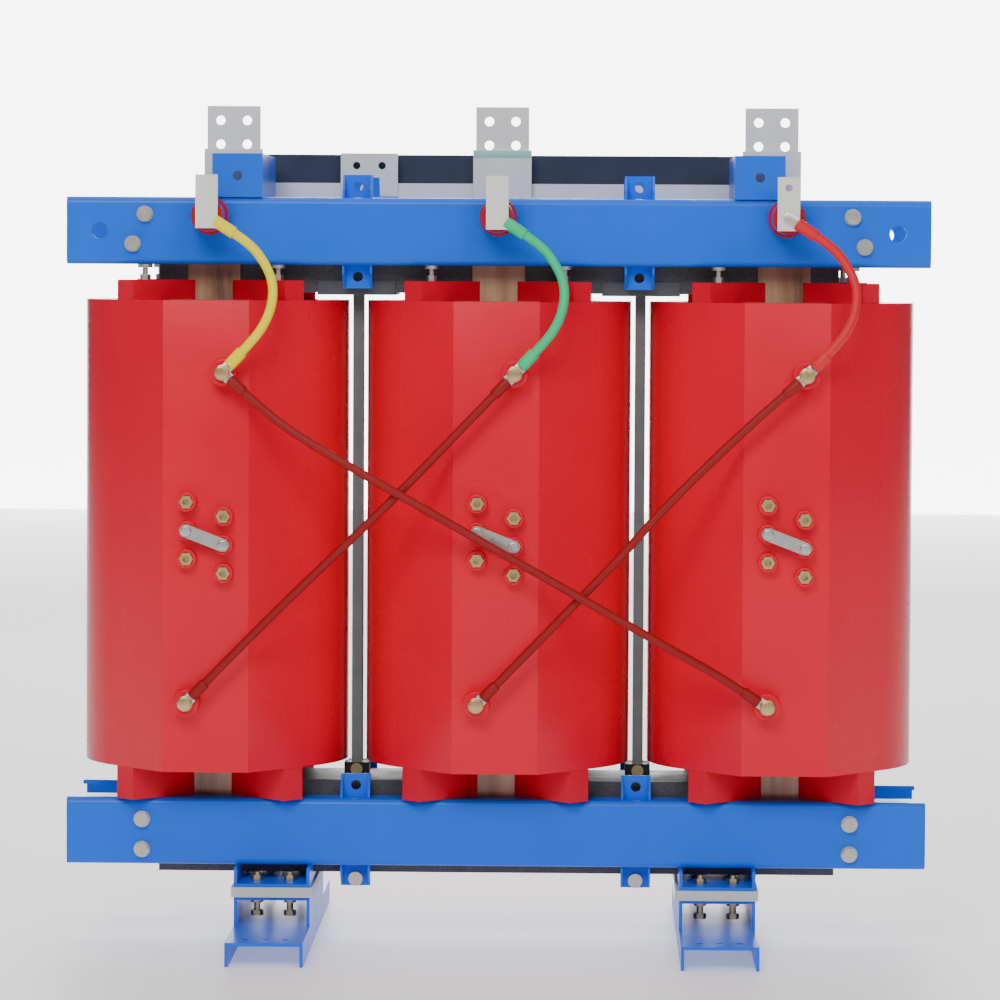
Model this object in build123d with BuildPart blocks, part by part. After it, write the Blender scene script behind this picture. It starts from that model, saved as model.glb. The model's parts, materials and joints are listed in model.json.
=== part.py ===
from build123d import *
import os
from math import acos, atan2, cos, degrees, hypot, pi, radians, sin, tan

# Three-phase cast-resin dry-type transformer, millimetres.
# +X runs along the phases, -Y is the high-voltage front, +Z is up.
# The origin is on the floor under the middle of the core.
os.makedirs("parts", exist_ok=True)

# Core
phase_pitch = 520
leg_width = 200
core_depth = 190
leg_step = 40
yoke_height = 170
yoke_bottom = 128
window_height = 894

# Tie plates beside the legs
tie_width = 96
tie_thickness = 8
tie_end_inset = 10

# Clamps, folded channels open towards the core
clamp_length = 1564
clamp_height = 122
clamp_wall = 8
clamp_flange = 67
bend_radius = 12
lower_clamp_bottom = 149
upper_clamp_bottom = 1242
lift_hole_radius = 15
lift_hole_inset = 60

# Clamp bolts: place from the middle and height above the channel's lower edge
clamp_bolt_shaft = 16
clamp_bolt_head = 24
clamp_bolt_washer = 30
upper_bolt_places = ((640, 91), (662, 37))
lower_bolt_places = ((644, 83), (644, 28))
hole_clearance = 1

# Small welded brackets on the clamp flanges
bracket_place = 256
bracket_width = 54
bracket_height = 42
bracket_wall = 4
bracket_setback = 45
bracket_hole_radius = 9
tie_rod_diameter = 12
tie_rod_head = 26

# Coils
coil_bottom = 330
coil_height = 848
hv_radius = 243
hv_bore_radius = 190
hv_front_reach = 274
hv_flat_width = 154
hv_chamfer = 4
lv_radius = 165
lv_bore_radius = 118

# Terminals and taps on the front of each high-voltage coil
column_offset = 33
terminal_inset = 128
terminal_boss_radius = 24
terminal_boss_height = 38
tap_pitch = 51
tap_boss_radius = 17.5
tap_boss_height = 24
boss_ring = 4
insert_size = 22
insert_depth = 10
insert_head = 4
thread_diameter = 12
thread_clearance = 0.4
link_width = 23
link_thickness = 4

# Press blocks above and below each coil
block_width = 45
block_end = (153, 191)
block_length = 180
top_block_height = 36
screw_place = (121, 150)

# Struts between the phases
strut_width = 19
strut_depth = 50
strut_wall = 4
shoe_size = (46, 44, 24)
saddle_width = 142
saddle_wall = 4
saddle_lip = 22

# High-voltage post insulators and their bars
post_height = 1330
post_length = 92
post_base_radius = 35
post_tip_radius = 28
post_stud_radius = 8
hv_bar_width = 40
hv_bar_height = 96
hv_bar_thickness = 5
hv_bar_bottom = 1307
hv_bar_hole_radius = 6.5
hv_bar_hole_drop = 19

# Low-voltage busbars behind the core
lv_pitch = 508
bar_thickness = 8
riser_width = 110
riser_top = 1460
riser_start = 127
riser_shelf = 1222
riser_face = 190
lv_plate_width = 100
lv_plate_thickness = 10
lv_plate_top = 1541
lv_plate_bottom = 1400
lv_hole_radius = 9
lv_hole_spacing = (50, 45)
lv_hole_drop = 27
neutral_width = 80
neutral_start = 150
neutral_shelf = 1200
neutral_bar_length = 1120
neutral_bar_height = 50
neutral_bar_top = 1397
neutral_bar_gap = 4
neutral_plate_place = -252
neutral_plate_width = 108
neutral_plate_top = 1453
neutral_plate_bottom = 1372
neutral_hole_radius = 7
neutral_hole_spacing = 48
neutral_hole_drop = 23

# Board that carries the busbars
board_length = 896
board_height = 80
board_thickness = 12
board_bottom = 1371
spacer_length = 16
spacer_radius = 12
spacer_places = (-370, -130, 130, 370)
board_bracket_place = 415
board_bracket_width = 40
board_bracket_wall = 6
board_bracket_height = 1300

# Cross members over the upper clamps
cross_place = 472.5
cross_width = 91
cross_height = 79
cross_wall = 6
cross_hole_radius = 8.5

# Feet
foot_place = 404
rail_length = 830
rail_width = 139
rail_height = 43
rail_wall = 6
foot_width = 138
foot_length = 422
foot_wall = 6
lower_foot_height = 53
pad_thickness = 18
pad_overhang = 5
foot_bolt_offset = (30, 160)
foot_bolt_shaft = 12
foot_bolt_nut = 20
wheel_hole_radius = 7
wheel_hole_inset = 42
wheel_hole_spacing = 36

# Cables
lead_diameter = 17
delta_diameter = 15
tongue_width = 20
tongue_thickness = 3
lug_wall = 2.5
lug_reach = 26
lug_barrel = 26
bar_lug_reach = 34
bar_lug_barrel = 25
lead_start_angle = -33
lead_end_angle = 47
lead_first_run = 35
lead_last_run = 33

# Sizes that follow
lower_yoke_top = yoke_bottom + yoke_height
upper_yoke_bottom = lower_yoke_top + window_height
yoke_length = 2 * phase_pitch + leg_width
core_face = core_depth / 2
tie_face = core_face + tie_thickness
clamp_face = tie_face + clamp_flange
lower_clamp_top = lower_clamp_bottom + clamp_height
upper_clamp_top = upper_clamp_bottom + clamp_height
coil_top = coil_bottom + coil_height
coil_middle = coil_bottom + coil_height / 2
block_top = coil_top + top_block_height
bracket_face = clamp_face - bracket_setback
tie_rod_height = yoke_bottom - tie_rod_diameter / 2 - 2
tap_tip = hv_front_reach + tap_boss_height + insert_head
terminal_tip = hv_front_reach + terminal_boss_height + insert_head
post_face = clamp_face + post_length
bar_face = post_face + tongue_thickness
bar_front = bar_face + hv_bar_thickness
riser_back = riser_face + bar_thickness
neutral_face = riser_back + lv_plate_thickness + neutral_bar_gap
neutral_back = neutral_face + bar_thickness
board_face = neutral_back + spacer_length
board_back = board_face + board_thickness
front_block_face = tie_face + hole_clearance
rear_block_face = riser_start + bar_thickness + 2 * hole_clearance
lower_foot_top = rail_height + lower_foot_height
upper_foot_bottom = lower_foot_top + pad_thickness
upper_foot_height = lower_clamp_bottom - upper_foot_bottom
phases = {"a": -phase_pitch, "b": 0, "c": phase_pitch}


def save(piece, name):
    piece.part.label = name
    export_step(piece.part, f"parts/{name}.step")


def cut_holes(plane, places, radius, reach):
    with BuildSketch(plane) as holes:
        with Locations(*places):
            Circle(radius)
    extrude(holes.sketch, amount=reach, both=True, mode=Mode.SUBTRACT)


# Core: lower yoke and stepped legs in one stack, upper yoke laid on afterwards
with BuildPart() as core_frame:
    with BuildSketch(Plane.XY.offset(yoke_bottom)):
        Rectangle(yoke_length, core_depth)
    extrude(amount=yoke_height)
    with BuildSketch(Plane.XY.offset(lower_yoke_top)):
        with Locations(*((x, 0) for x in phases.values())):
            for step in range(3):
                Rectangle(leg_width - step * leg_step, core_depth - (2 - step) * leg_step)
    extrude(amount=window_height)
save(core_frame, "core_frame")

with BuildPart() as top_yoke:
    with BuildSketch(Plane.XY.offset(upper_yoke_bottom)):
        Rectangle(yoke_length, core_depth)
    extrude(amount=yoke_height)
save(top_yoke, "top_yoke")

for name, side in (("front_tie_plates", -1), ("rear_tie_plates", 1)):
    with BuildPart() as tie_plates:
        with BuildSketch(Plane.XY.offset(lower_clamp_bottom + tie_end_inset)):
            with Locations(*((x, side * (core_face + tie_thickness / 2)) for x in phases.values())):
                Rectangle(tie_width, tie_thickness)
        extrude(amount=upper_clamp_top - lower_clamp_bottom - 2 * tie_end_inset)
    save(tie_plates, name)


def add_bracket(x, side, base, up, hole_height):
    """Back plate with a hole between two sloping cheeks, welded to a clamp flange."""
    plane = Plane.XZ.offset(-side * bracket_face)
    middle = base + up * bracket_height / 2
    with BuildSketch(plane) as back_plate:
        with Locations((x, middle)):
            Rectangle(bracket_width, bracket_height)
        with Locations((x, hole_height)):
            Circle(bracket_hole_radius, mode=Mode.SUBTRACT)
    extrude(back_plate.sketch, amount=side * bracket_wall)
    cheek_reach = bracket_setback * 0.7
    for cheek in (-1, 1):
        cheek_x = x + cheek * (bracket_width - bracket_wall) / 2
        with BuildSketch(Plane.YZ.offset(cheek_x)) as cheek_face:
            with BuildLine():
                Polyline(
                    (side * bracket_face, base),
                    (side * (bracket_face + cheek_reach), base),
                    (side * (bracket_face + cheek_reach), base + up * bracket_height * 0.35),
                    (side * bracket_face, base + up * bracket_height),
                    close=True,
                )
            make_face()
        extrude(cheek_face.sketch, amount=bracket_wall / 2, both=True)


def clamp_channel(side, bottom, bolt_places, lift_holes):
    """Folded channel with its web outwards, its bolt holes and its welded brackets."""
    with BuildPart() as clamp:
        with BuildSketch(Plane.YZ) as section:
            with Locations((side * (clamp_face - clamp_flange / 2), bottom + clamp_height / 2)):
                Rectangle(clamp_flange, clamp_height)
            fillet(section.vertices().sort_by(Axis.X)[:2] if side < 0
                   else section.vertices().sort_by(Axis.X)[-2:], bend_radius)
            with Locations((side * (clamp_face - clamp_wall - clamp_flange / 2), bottom + clamp_height / 2)):
                Rectangle(clamp_flange, clamp_height - 2 * clamp_wall, mode=Mode.SUBTRACT)
        extrude(amount=clamp_length / 2, both=True)
        web = Plane.XZ.offset(-side * clamp_face)
        bolt_holes = [(s * x, bottom + z) for x, z in bolt_places for s in (-1, 1)]
        cut_holes(web, bolt_holes, clamp_bolt_shaft / 2 + hole_clearance, 1.5 * clamp_wall)
        if lift_holes:
            lift_x = clamp_length / 2 - lift_hole_inset
            middle = bottom + clamp_height / 2
            cut_holes(web, [(-lift_x, middle), (lift_x, middle)], lift_hole_radius, 1.5 * clamp_wall)
        top = bottom + clamp_height
        low_hole = tie_rod_height if bottom < coil_bottom else bottom - bracket_height / 2
        for x in (-bracket_place, bracket_place):
            add_bracket(x, side, top, 1, top + bracket_height / 2)
            add_bracket(x, side, bottom, -1, low_hole)
    return clamp


lower_clamp_front = clamp_channel(-1, lower_clamp_bottom, lower_bolt_places, False)
save(lower_clamp_front, "lower_clamp_front")
lower_clamp_rear = clamp_channel(1, lower_clamp_bottom, lower_bolt_places, False)
save(lower_clamp_rear, "lower_clamp_rear")
upper_clamp_front = clamp_channel(-1, upper_clamp_bottom, upper_bolt_places, True)
save(upper_clamp_front, "upper_clamp_front")

# The rear upper clamp also carries the two brackets of the busbar board
with BuildPart() as upper_clamp_rear:
    add(clamp_channel(1, upper_clamp_bottom, upper_bolt_places, True).part)
    for x in (-board_bracket_place, board_bracket_place):
        with BuildSketch(Plane.YZ.offset(x)):
            with BuildLine():
                Polyline(
                    (clamp_face, board_bracket_height),
                    (board_back + board_bracket_wall, board_bracket_height),
                    (board_back + board_bracket_wall, board_bottom + board_height - cross_wall),
                    (board_back, board_bottom + board_height - cross_wall),
                    (board_back, board_bracket_height + board_bracket_wall),
                    (clamp_face, board_bracket_height + board_bracket_wall),
                    close=True,
                )
            make_face()
        extrude(amount=board_bracket_width / 2, both=True)
save(upper_clamp_rear, "upper_clamp_rear")


def add_through_bolt(x, z, face, shaft, head, washer):
    """Hex bolt from the front to the rear, with a washer and a hexagon at each end."""
    washer_thickness = 3
    with BuildSketch(Plane.XZ) as shaft_end:
        with Locations((x, z)):
            Circle(shaft / 2)
    extrude(shaft_end.sketch, amount=face + washer_thickness, both=True)
    for side in (-1, 1):
        with BuildSketch(Plane.XZ.offset(-side * face)) as washer_face:
            with Locations((x, z)):
                Circle(washer / 2)
        extrude(washer_face.sketch, amount=-side * washer_thickness)
        with BuildSketch(Plane.XZ.offset(-side * (face + washer_thickness))) as hexagon:
            with Locations((x, z)):
                RegularPolygon(head / 2, 6, major_radius=False)
        extrude(hexagon.sketch, amount=-side * head * 0.4)


with BuildPart() as clamp_bolts:
    for bottom, places in ((lower_clamp_bottom, lower_bolt_places), (upper_clamp_bottom, upper_bolt_places)):
        for place_x, place_z in places:
            for x in (-place_x, place_x):
                add_through_bolt(x, bottom + place_z, clamp_face,
                                 clamp_bolt_shaft, clamp_bolt_head, clamp_bolt_washer)
save(clamp_bolts, "clamp_bolts")

# Rods that pull the lower brackets together under the yoke
with BuildPart() as lower_tie_rods:
    for x in (-bracket_place, bracket_place):
        with BuildSketch(Plane.XZ):
            with Locations((x, tie_rod_height)):
                Circle(tie_rod_diameter / 2)
        extrude(amount=bracket_face, both=True)
        for side in (-1, 1):
            with BuildSketch(Plane.XZ.offset(-side * bracket_face)):
                with Locations((x, tie_rod_height)):
                    Circle(tie_rod_head / 2)
            extrude(amount=-side * 9)
save(lower_tie_rods, "lower_tie_rods")


def hv_outline():
    """Plan of a high-voltage coil: a circle with a flat front and straight sides tangent to it."""
    half_flat = hv_flat_width / 2
    corner = hypot(half_flat, hv_front_reach)
    tangent = atan2(half_flat, hv_front_reach) + acos(hv_radius / corner)
    tangent_x, tangent_y = hv_radius * sin(tangent), -hv_radius * cos(tangent)
    with BuildSketch() as outline:
        Circle(hv_radius)
        with BuildLine():
            Polyline((0, 0), (-tangent_x, tangent_y), (-half_flat, -hv_front_reach),
                     (half_flat, -hv_front_reach), (tangent_x, tangent_y), close=True)
        make_face()
        Circle(hv_bore_radius, mode=Mode.SUBTRACT)
    return outline.sketch


# Tap columns stand half a pitch apart in height; the ends of the winding are on one boss each
tap_places = [(side * column_offset, coil_middle - side * tap_pitch / 4 + row * tap_pitch)
              for side in (-1, 1) for row in (-1, 0, 1)]
upper_terminal = (column_offset, coil_top - terminal_inset)
lower_terminal = (-column_offset, coil_bottom + terminal_inset)
boss_kinds = (
    (tap_places, tap_boss_radius, tap_boss_height),
    ([upper_terminal, lower_terminal], terminal_boss_radius, terminal_boss_height),
)

for phase, axis in phases.items():
    # Cast-resin high-voltage coil with its bosses, each bored for a brass insert
    with BuildPart() as hv_coil:
        add(hv_outline().moved(Location((axis, 0, coil_bottom))))
        extrude(amount=coil_height)
        for end in (hv_coil.faces().sort_by(Axis.Z)[0], hv_coil.faces().sort_by(Axis.Z)[-1]):
            chamfer(end.outer_wire().edges(), hv_chamfer)
        for places, radius, height in boss_kinds:
            spots = [(axis + x, z) for x, z in places]
            with BuildSketch(Plane.XZ.offset(hv_front_reach)):
                with Locations(*spots):
                    Circle(radius + boss_ring)
            extrude(amount=boss_ring)
            with BuildSketch(Plane.XZ.offset(hv_front_reach)):
                with Locations(*spots):
                    Circle(radius)
            extrude(amount=height)
            with BuildSketch(Plane.XZ.offset(hv_front_reach + height - insert_depth)):
                with Locations(*spots):
                    Circle(insert_size / 2)
            extrude(amount=insert_depth, mode=Mode.SUBTRACT)
    save(hv_coil, f"hv_coil_{phase}")

    with BuildPart() as inserts:
        for places, radius, height in boss_kinds:
            spots = [(axis + x, z) for x, z in places]
            with BuildSketch(Plane.XZ.offset(hv_front_reach + height - insert_depth)):
                with Locations(*spots):
                    Circle(insert_size / 2)
            extrude(amount=insert_depth)
            with BuildSketch(Plane.XZ.offset(hv_front_reach + height)):
                with Locations(*spots):
                    RegularPolygon(insert_size / 2, 6, major_radius=False)
            extrude(amount=insert_head)
            with BuildSketch(Plane.XZ.offset(hv_front_reach + height - insert_depth + 1)):
                with Locations(*spots):
                    Circle(thread_diameter / 2)
            extrude(amount=insert_depth + insert_head, mode=Mode.SUBTRACT)
    save(inserts, f"terminal_inserts_{phase}")

    # Link plate between the middle taps of the two columns
    left_tap, right_tap = tap_places[1], tap_places[4]
    link_angle = atan2(right_tap[1] - left_tap[1], right_tap[0] - left_tap[0])
    with BuildPart() as tap_link:
        with BuildSketch(Plane.XZ.offset(tap_tip)):
            with Locations(Location((axis, (left_tap[1] + right_tap[1]) / 2, 0), (0, 0, degrees(link_angle)))):
                SlotCenterToCenter(hypot(2 * column_offset, right_tap[1] - left_tap[1]), link_width)
            with Locations(*((axis + x, z) for x, z in (left_tap, right_tap))):
                Circle(thread_diameter / 2, mode=Mode.SUBTRACT)
        extrude(amount=link_thickness)
    save(tap_link, f"tap_link_{phase}")

    with BuildPart() as lv_coil:
        with BuildSketch(Plane.XY.offset(coil_bottom)):
            with Locations((axis, 0)):
                Circle(lv_radius)
                Circle(lv_bore_radius, mode=Mode.SUBTRACT)
        extrude(amount=coil_height)
    save(lv_coil, f"lv_coil_{phase}")

    # Press blocks at 45 degrees, their inner ends cut flat in front of the tie plates
    for level, base, height in (("bottom", lower_clamp_top, coil_bottom - lower_clamp_top),
                                ("top", coil_top, top_block_height)):
        with BuildPart() as blocks:
            with BuildSketch(Plane.XY.offset(base)):
                for side_x in (-1, 1):
                    for side_y in (-1, 1):
                        half_reach = block_length / 2 * cos(radians(45))
                        middle = (axis + side_x * (block_end[0] - half_reach),
                                  side_y * (block_end[1] - half_reach))
                        with Locations(Location((*middle, 0), (0, 0, side_x * side_y * 45))):
                            Rectangle(block_length, block_width)
                cut_back = rear_block_face - front_block_face
                with Locations((axis, cut_back / 2)):
                    Rectangle(2 * hv_radius, front_block_face + rear_block_face, mode=Mode.SUBTRACT)
            extrude(amount=height)
        save(blocks, f"{level}_blocks_{phase}")


def add_front_bolt(x, z, seat, head, washer, head_height):
    """Hex bolt with its washer against a seat that faces the front, its shank in an insert."""
    shank = (thread_diameter - thread_clearance) / 2
    with BuildSketch(Plane.XZ.offset(seat)) as washer_face:
        with Locations((x, z)):
            Circle(washer / 2)
    extrude(washer_face.sketch, amount=2.5)
    with BuildSketch(Plane.XZ.offset(seat)) as shank_end:
        with Locations((x, z)):
            Circle(shank)
    extrude(shank_end.sketch, amount=-insert_depth)
    with BuildSketch(Plane.XZ.offset(seat + 2.5)) as hexagon:
        with Locations((x, z)):
            RegularPolygon(head / 2, 6, major_radius=False)
    extrude(hexagon.sketch, amount=head_height)


upper_lug_seat = terminal_tip + 2 * tongue_thickness
lower_lug_seat = terminal_tip + tongue_thickness
with BuildPart() as terminal_bolts:
    for axis in phases.values():
        add_front_bolt(axis + upper_terminal[0], upper_terminal[1], upper_lug_seat, 22, 28, 9)
        add_front_bolt(axis + lower_terminal[0], lower_terminal[1], lower_lug_seat, 22, 28, 9)
        for x, z in (tap_places[1], tap_places[4]):
            add_front_bolt(axis + x, z, tap_tip + link_thickness, 17, 20, 5)
save(terminal_bolts, "terminal_bolts")

# Jack screws between the top blocks and the flanges of the upper clamps
with BuildPart() as jack_screws:
    spots = [(axis + sx * screw_place[0], sy * screw_place[1])
             for axis in phases.values() for sx in (-1, 1) for sy in (-1, 1)]
    with BuildSketch(Plane.XY.offset(block_top)):
        with Locations(*spots):
            RegularPolygon(8.5, 6, major_radius=False)
    extrude(amount=10)
    with BuildSketch(Plane.XY.offset(block_top)):
        with Locations(*spots):
            Circle(5)
    extrude(amount=upper_clamp_bottom - block_top)
    with BuildSketch(Plane.XY.offset(upper_clamp_bottom - 6)):
        with Locations(*spots):
            Circle(13.5)
    extrude(amount=6)
save(jack_screws, "jack_screws")

# Struts that stand on the lower yoke between the phases, under a folded saddle
saddle_floor = upper_yoke_bottom - saddle_wall
shoe_top = lower_yoke_top + shoe_size[2]
for name, x in (("phase_strut_left", -phase_pitch / 2), ("phase_strut_right", phase_pitch / 2)):
    with BuildPart() as strut:
        with BuildSketch(Plane.XY.offset(shoe_top)):
            with Locations((x, 0)):
                Rectangle(strut_width, strut_depth)
            with Locations((x - strut_width / 2, 0), (x + strut_width / 2, 0)):
                Rectangle(strut_width - strut_wall, strut_depth - 2 * strut_wall, mode=Mode.SUBTRACT)
        extrude(amount=saddle_floor - shoe_top)
    save(strut, name)

strut_places = (-phase_pitch / 2, phase_pitch / 2)
with BuildPart() as strut_saddles:
    with BuildSketch(Plane.YZ.offset(-saddle_width / 2)):
        with Locations((0, saddle_floor + (saddle_wall + saddle_lip) / 2)):
            Rectangle(core_depth + 2 * saddle_wall, saddle_wall + saddle_lip)
        with Locations((0, upper_yoke_bottom + saddle_lip)):
            Rectangle(core_depth, 2 * saddle_lip, mode=Mode.SUBTRACT)
    extrude(amount=saddle_width)
    first = strut_saddles.part.moved(Location((-phase_pitch / 2, 0, 0)))
    second = strut_saddles.part.moved(Location((phase_pitch / 2, 0, 0)))
    add([first, second], mode=Mode.REPLACE)
save(strut_saddles, "strut_saddles")

shoe_bolt_height = lower_yoke_top + shoe_size[2] / 2
with BuildPart() as strut_shoes:
    with BuildSketch(Plane.XY.offset(lower_yoke_top)):
        with Locations(*((x, 0) for x in strut_places)):
            Rectangle(shoe_size[0], shoe_size[1])
    extrude(amount=shoe_size[2])
save(strut_shoes, "strut_shoes")

with BuildPart() as strut_bolts:
    with BuildSketch(Plane.XZ.offset(shoe_size[1] / 2)):
        with Locations(*((x, shoe_bolt_height) for x in strut_places)):
            Circle(11)
    extrude(amount=7)
save(strut_bolts, "strut_bolts")

# Post insulators on the front of the upper clamp, and the flat bars on their studs
with BuildPart() as post_insulators:
    for axis in phases.values():
        with BuildSketch(Plane.XY.offset(post_height)) as profile:
            with BuildLine():
                Polyline(
                    (axis, -clamp_face),
                    (axis + post_base_radius, -clamp_face),
                    (axis + post_base_radius - 1, -clamp_face - post_length * 0.35),
                    (axis + post_tip_radius - 2, -clamp_face - post_length * 0.5),
                    (axis + post_tip_radius + 2, -clamp_face - post_length * 0.65),
                    (axis + post_tip_radius, -post_face),
                    (axis + post_stud_radius, -post_face),
                    (axis + post_stud_radius, -bar_face),
                    (axis, -bar_face),
                    close=True,
                )
            make_face()
        revolve(axis=Axis((axis, 0, post_height), (0, 1, 0)))
save(post_insulators, "post_insulators")

for phase, axis in phases.items():
    with BuildPart() as hv_bar:
        with BuildSketch(Plane.XZ.offset(bar_face)):
            with Locations((axis, hv_bar_bottom + hv_bar_height / 2)):
                Rectangle(hv_bar_width, hv_bar_height)
            if phase == "c":
                with Locations((axis, hv_bar_bottom + hv_bar_height - hv_bar_hole_drop)):
                    Circle(hv_bar_hole_radius, mode=Mode.SUBTRACT)
        extrude(amount=hv_bar_thickness)
    save(hv_bar, f"hv_bar_{phase}")


def bent_bar(x, width, start, shelf, face, top):
    """Busbar that rises from a low-voltage coil, turns to the rear and rises again."""
    with BuildSketch(Plane.YZ.offset(x)) as side_view:
        with BuildLine():
            Polyline(
                (start, coil_top),
                (start + bar_thickness, coil_top),
                (start + bar_thickness, shelf),
                (face + bar_thickness, shelf),
                (face + bar_thickness, top),
                (face, top),
                (face, shelf + bar_thickness),
                (start, shelf + bar_thickness),
                close=True,
            )
        make_face()
    extrude(side_view.sketch, amount=width / 2, both=True)


lv_places = (-lv_pitch, 0, lv_pitch)
with BuildPart() as lv_risers:
    for x in lv_places:
        bent_bar(x, riser_width, riser_start, riser_shelf, riser_face, riser_top)
save(lv_risers, "lv_risers")

with BuildPart() as neutral_risers:
    for x in lv_places:
        bent_bar(x, neutral_width, neutral_start, neutral_shelf, neutral_back, neutral_bar_top)
save(neutral_risers, "neutral_risers")

with BuildPart() as lv_terminals:
    hole_rows = lv_plate_top - lv_hole_drop - lv_hole_spacing[1] / 2
    for x in lv_places:
        with BuildSketch(Plane.XZ.offset(-riser_back)):
            with Locations((x, (lv_plate_top + lv_plate_bottom) / 2)):
                Rectangle(lv_plate_width, lv_plate_top - lv_plate_bottom)
            with Locations((x, hole_rows)):
                with GridLocations(*lv_hole_spacing, 2, 2):
                    Circle(lv_hole_radius, mode=Mode.SUBTRACT)
        extrude(amount=-lv_plate_thickness)
save(lv_terminals, "lv_terminals")

with BuildPart() as neutral_bar:
    with BuildSketch(Plane.XZ.offset(-neutral_face)):
        with Locations((0, neutral_bar_top - neutral_bar_height / 2)):
            Rectangle(neutral_bar_length, neutral_bar_height)
    extrude(amount=-bar_thickness)
save(neutral_bar, "neutral_bar")

with BuildPart() as neutral_terminal:
    with BuildSketch(Plane.XZ.offset(-neutral_face)):
        with Locations((neutral_plate_place, (neutral_plate_top + neutral_plate_bottom) / 2)):
            Rectangle(neutral_plate_width, neutral_plate_top - neutral_plate_bottom)
        with Locations((neutral_plate_place, neutral_plate_top - neutral_hole_drop)):
            with GridLocations(neutral_hole_spacing, 1, 2, 1):
                Circle(neutral_hole_radius, mode=Mode.SUBTRACT)
    extrude(amount=bar_thickness)
save(neutral_terminal, "neutral_terminal")

# Insulating board behind the busbars, with the spacers that hold the neutral bar
with BuildPart() as busbar_board:
    with BuildSketch(Plane.XZ.offset(-board_face)):
        with Locations((0, board_bottom + board_height / 2)):
            Rectangle(board_length, board_height)
    extrude(amount=-board_thickness)
save(busbar_board, "busbar_board")

with BuildPart() as busbar_spacers:
    with BuildSketch(Plane.XZ.offset(-neutral_back)):
        with Locations(*((x, board_bottom + spacer_radius + 1) for x in spacer_places)):
            Circle(spacer_radius)
    extrude(amount=-spacer_length)
save(busbar_spacers, "busbar_spacers")

# Inverted channels across the upper clamps, closed at the front
with BuildPart() as top_cross_members:
    for x in (-cross_place, cross_place):
        with BuildSketch(Plane.XZ.offset(-clamp_face)):
            with Locations((x, upper_clamp_top + cross_height / 2)):
                Rectangle(cross_width, cross_height)
            with Locations((x, upper_clamp_top + (cross_height - cross_wall) / 2)):
                Rectangle(cross_width - 2 * cross_wall, cross_height - cross_wall, mode=Mode.SUBTRACT)
        extrude(amount=2 * clamp_face)
        with BuildSketch(Plane.XZ.offset(clamp_face - cross_wall)):
            with Locations((x, upper_clamp_top + cross_height / 2)):
                Rectangle(cross_width, cross_height)
                Circle(cross_hole_radius, mode=Mode.SUBTRACT)
        extrude(amount=cross_wall)
save(top_cross_members, "top_cross_members")

# Feet: rail, lower channel, insulating pad and upper channel, bolted through
foot_places = (-foot_place, foot_place)
foot_bolt_places = [(x + sx * foot_bolt_offset[0], sy * foot_bolt_offset[1])
                    for x in foot_places for sx in (-1, 1) for sy in (-1, 1)]


def foot_channel(x, base, width, height, wall, length, open_side):
    """Channel along Y, open downwards (-1) or upwards (1)."""
    with BuildSketch(Plane.XZ.offset(length / 2)) as section:
        with Locations((x, base + height / 2)):
            Rectangle(width, height)
        with Locations((x, base + height / 2 + open_side * wall)):
            Rectangle(width - 2 * wall, height, mode=Mode.SUBTRACT)
    extrude(section.sketch, amount=-length)


def cut_foot_holes(base, depth):
    with BuildSketch(Plane.XY.offset(base)) as holes:
        with Locations(*foot_bolt_places):
            Circle(foot_bolt_shaft / 2 + hole_clearance)
    extrude(holes.sketch, amount=depth, both=True, mode=Mode.SUBTRACT)


with BuildPart() as base_rails:
    for x in foot_places:
        foot_channel(x, 0, rail_width, rail_height, rail_wall, rail_length, -1)
    wheel_rows = rail_length / 2 - wheel_hole_inset
    with BuildSketch(Plane.XY.offset(rail_height)):
        with Locations(*((x, y) for x in foot_places for y in (-wheel_rows, wheel_rows))):
            with GridLocations(wheel_hole_spacing, 1, 3, 1):
                Circle(wheel_hole_radius)
    extrude(amount=-1.5 * rail_wall, mode=Mode.SUBTRACT)
save(base_rails, "base_rails")

with BuildPart() as lower_foot_channels:
    for x in foot_places:
        foot_channel(x, rail_height, foot_width, lower_foot_height, foot_wall, foot_length, -1)
    cut_foot_holes(lower_foot_top, 1.5 * foot_wall)
save(lower_foot_channels, "lower_foot_channels")

with BuildPart() as foot_pads:
    with BuildSketch(Plane.XY.offset(lower_foot_top)):
        with Locations(*((x, 0) for x in foot_places)):
            Rectangle(foot_width + 2 * pad_overhang, foot_length + 2 * pad_overhang)
    extrude(amount=pad_thickness)
    cut_foot_holes(lower_foot_top, 1.5 * pad_thickness)
save(foot_pads, "foot_pads")

# The upper channels are notched so that their walls pass under the yoke
with BuildPart() as upper_foot_channels:
    for x in foot_places:
        foot_channel(x, upper_foot_bottom, foot_width, upper_foot_height, foot_wall, foot_length, 1)
    cut_foot_holes(upper_foot_bottom, 1.5 * foot_wall)
    with BuildSketch(Plane.XY.offset(yoke_bottom - hole_clearance)):
        Rectangle(2 * phase_pitch, 2 * (tie_face + hole_clearance))
    extrude(amount=yoke_height, mode=Mode.SUBTRACT)
save(upper_foot_channels, "upper_foot_channels")

with BuildPart() as foot_bolts:
    nut_height = 10
    stack_bottom = lower_foot_top - foot_wall
    stack_top = upper_foot_bottom + foot_wall
    with BuildSketch(Plane.XY.offset(stack_bottom - 34)):
        with Locations(*foot_bolt_places):
            Circle(foot_bolt_shaft / 2)
    extrude(amount=stack_top - stack_bottom + 34 + nut_height + 6)
    for base in (stack_bottom - 34, stack_bottom - nut_height, stack_top):
        with BuildSketch(Plane.XY.offset(base)):
            with Locations(*foot_bolt_places):
                RegularPolygon(foot_bolt_nut / 2, 6, major_radius=False)
        extrude(amount=nut_height)
save(foot_bolts, "foot_bolts")


# Cable lugs: a flat eye under the bolt and a barrel that takes the cable
def along(centre, angle, distance):
    """Point at a distance from a lug's eye, in the plane of the fronts."""
    return (centre[0] + distance * cos(radians(angle)), centre[1] + distance * sin(radians(angle)))


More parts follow.
